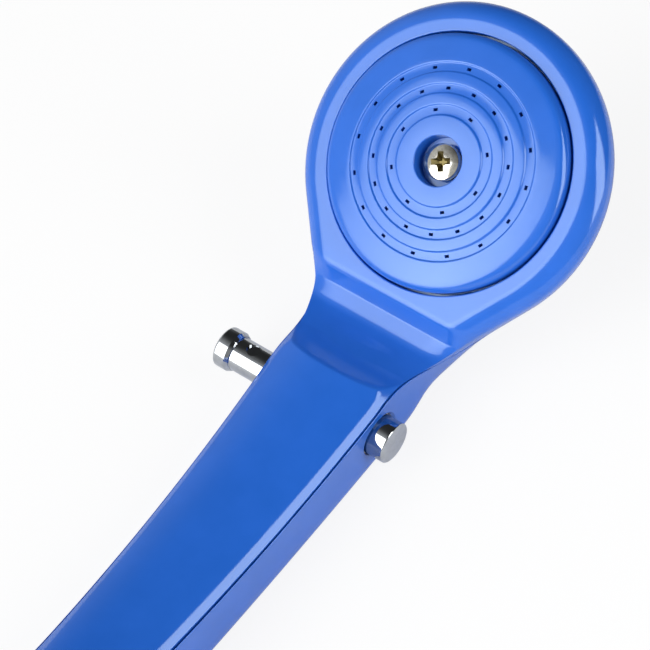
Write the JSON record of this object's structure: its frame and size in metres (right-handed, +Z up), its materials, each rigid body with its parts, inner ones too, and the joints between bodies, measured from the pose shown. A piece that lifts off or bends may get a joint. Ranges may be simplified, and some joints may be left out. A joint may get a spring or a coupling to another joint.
{
  "type": "bath sprayer",
  "caption": "Handheld bath sprayer with a round spray head, thumb hollow, curved handle, push-pull valve pin and a male hose inlet.",
  "frame": {"origin": "middle of the sprayer's length and width, on the plane it lies on", "axes": "+X along the valve pin towards its button, +Y along the sprayer towards the tip of the head, +Z up, away from the handle's back"},
  "size_m": [0.0718, 0.1941, 0.0597],
  "materials": {
    "blue_abs": "gloss",
    "chrome": "polished",
    "nickel_screw": "plated",
    "brass": "satin",
    "acetal": "matt",
    "rubber": "matt"
  },
  "bodies": {
    "sprayer": {"front_housing": "blue_abs", "back_housing": "blue_abs", "spray_plate": "blue_abs", "plate_seal": "rubber", "plate_screw": "nickel_screw", "screw_seal": "rubber", "screw_insert": "brass", "valve_body": "acetal", "left_gland": "acetal", "right_gland": "acetal", "left_pin_seal": "rubber", "right_pin_seal": "rubber", "lower_tube": "acetal", "lower_tube_seals": "rubber", "upper_tube": "acetal", "upper_tube_seals": "rubber", "head_elbow": "acetal", "elbow_seal": "rubber", "inlet_nipple": "chrome"},
    "valve": {"valve_pin": "chrome", "valve_button": "chrome"}
  },
  "joints": [
    {"name": "valve_slide", "type": "slide", "parent": "sprayer", "child": "valve", "axis": [1, 0, 0], "range_m": [0, 0.0112]}
  ]
}
